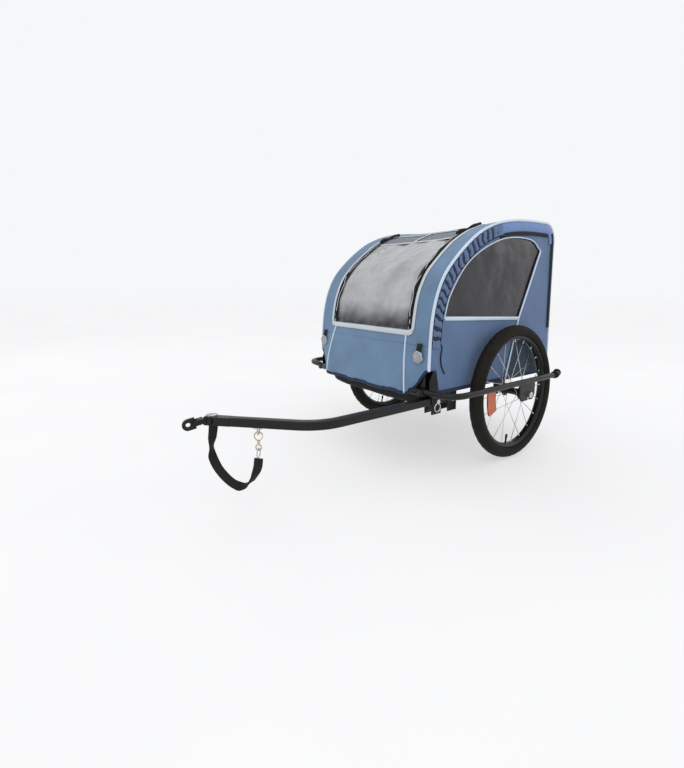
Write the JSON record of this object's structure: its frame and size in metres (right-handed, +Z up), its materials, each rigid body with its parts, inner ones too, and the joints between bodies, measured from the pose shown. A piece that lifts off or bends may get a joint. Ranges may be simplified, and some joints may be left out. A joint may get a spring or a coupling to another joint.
{
  "type": "child bicycle trailer",
  "caption": "Two-wheel child bicycle trailer with a fabric cabin on folding side hoops, spoked wheels inside side guards, and a folding tow bar with swivel hitch and safety strap.",
  "frame": {"origin": "middle of the footprint box, on the ground under the tyres", "axes": "+Z up, the tow bar points to -Y, +X is the side that carries the tow bar"},
  "size_m": [0.8316, 1.4619, 0.903],
  "materials": {
    "frame_black": "satin powder coat",
    "tyre_rubber": "matt brown-black rubber",
    "rim_black": "satin black",
    "spoke_steel": "bright",
    "bright_steel": "zinc plated",
    "brass": "polished",
    "blue_fabric": "woven polyester",
    "black_fabric": "woven polyester",
    "smoked_vinyl": "clear film over black mesh",
    "black_mesh": "knitted mesh",
    "webbing_black": "ribbed webbing",
    "reflector_orange": "prismatic",
    "reflector_clear": "prismatic"
  },
  "bodies": {
    "chassis": {"left_rail": "frame_black", "right_rail": "frame_black", "front_cross_tube": "frame_black", "axle_cross_tube": "frame_black", "rear_cross_tube": "frame_black", "left_wheel_guard": "frame_black", "right_wheel_guard": "frame_black", "left_outer_dropout": "frame_black", "right_outer_dropout": "frame_black", "left_inner_dropout": "frame_black", "right_inner_dropout": "frame_black", "left_corner_gusset": "frame_black", "right_corner_gusset": "frame_black", "left_axle": "bright_steel", "right_axle": "bright_steel", "left_front_hinge_bracket": "frame_black", "left_rear_hinge_bracket": "frame_black", "right_front_hinge_bracket": "frame_black", "right_rear_hinge_bracket": "frame_black", "front_tow_bracket": "frame_black", "rear_tow_bracket": "frame_black", "tow_pivot_bolt": "bright_steel", "footwell": "black_fabric", "floor_panel": "black_fabric", "seat_cushion": "black_fabric", "seat_back": "black_fabric", "left_harness": "webbing_black", "right_harness": "webbing_black", "front_apron": "blue_fabric", "front_cover": "blue_fabric", "front_window": "smoked_vinyl", "roof_mesh": "black_mesh", "rear_panel": "blue_fabric", "left_front_reflector": "reflector_clear", "right_front_reflector": "reflector_clear"},
    "left_wheel": {"left_tyre": "tyre_rubber", "left_rim": "rim_black", "left_hub_and_spokes": "spoke_steel", "left_spoke_reflector": "reflector_orange"},
    "right_wheel": {"right_tyre": "tyre_rubber", "right_rim": "rim_black", "right_hub_and_spokes": "spoke_steel", "right_spoke_reflector": "reflector_orange"},
    "left_side": {"left_hoop": "frame_black", "left_side_panel": "blue_fabric", "left_side_window": "smoked_vinyl"},
    "right_side": {"right_hoop": "frame_black", "right_side_panel": "blue_fabric", "right_side_window": "smoked_vinyl"},
    "tow_bar": {"tow_bar": "frame_black", "tow_bar_clevis": "frame_black", "safety_strap": "webbing_black", "strap_eye": "bright_steel", "snap_hook": "brass", "strap_ring": "bright_steel"},
    "retaining_pin": {"tow_retaining_pin": "bright_steel"},
    "coupling_pin": {"coupling_pin": "bright_steel"},
    "swivel": {"swivel_block": "frame_black"},
    "tongue": {"hitch_tongue": "frame_black"},
    "snap_gate": {"snap_gate": "brass"}
  },
  "joints": [
    {"name": "left_wheel_spin", "type": "hinge", "parent": "chassis", "child": "left_wheel", "pos_m": [0.343, 0.40343, 0.25], "axis": [1, 0, 0], "continuous": true},
    {"name": "right_wheel_spin", "type": "hinge", "parent": "chassis", "child": "right_wheel", "pos_m": [-0.343, 0.40343, 0.25], "axis": [1, 0, 0], "continuous": true},
    {"name": "left_side_fold", "type": "hinge", "parent": "chassis", "child": "left_side", "pos_m": [0.277, 0.40343, 0.368], "axis": [0, -1, 0], "range_deg": [0, 90], "deforming": ["front_apron", "front_cover", "front_window", "roof_mesh", "rear_panel", "left_side_panel", "right_side_panel", "left_side_window", "right_side_window", "seat_cushion", "seat_back", "left_harness", "right_harness", "left_front_reflector", "right_front_reflector"]},
    {"name": "right_side_fold", "type": "hinge", "parent": "chassis", "child": "right_side", "pos_m": [-0.277, 0.40343, 0.325], "axis": [0, 1, 0], "range_deg": [0, 90]},
    {"name": "tow_bar_fold", "type": "hinge", "parent": "chassis", "child": "tow_bar", "pos_m": [0.286, 0.09843, 0.262], "axis": [1, 0, 0], "range_deg": [0, 165]},
    {"name": "retaining_pin_pull", "type": "slide", "parent": "chassis", "child": "retaining_pin", "axis": [1, 0, 0], "range_m": [0, 0.05]},
    {"name": "coupling_pin_lift", "type": "slide", "parent": "tow_bar", "child": "coupling_pin", "axis": [0, 0, 1], "range_m": [0, 0.06]},
    {"name": "hitch_yaw", "type": "hinge", "parent": "tow_bar", "child": "swivel", "pos_m": [0.06255, -0.65602, 0.262], "axis": [0, 0, 1], "range_deg": [-40, 60]},
    {"name": "hitch_pitch", "type": "hinge", "parent": "swivel", "child": "tongue", "pos_m": [0.05714, -0.68145, 0.262], "axis": [0.9781, -0.2079, 0], "range_deg": [-20, 20]},
    {"name": "snap_gate_open", "type": "hinge", "parent": "tow_bar", "child": "snap_gate", "pos_m": [0.16894, -0.54963, 0.21548], "axis": [0.7071, -0.7071, 0], "range_deg": [0, 30], "stiffness_Nm_per_rad": 0.01}
  ],
  "couplings": [
    {"joint": "right_side_fold", "follows": "left_side_fold", "ratio": 1}
  ]
}
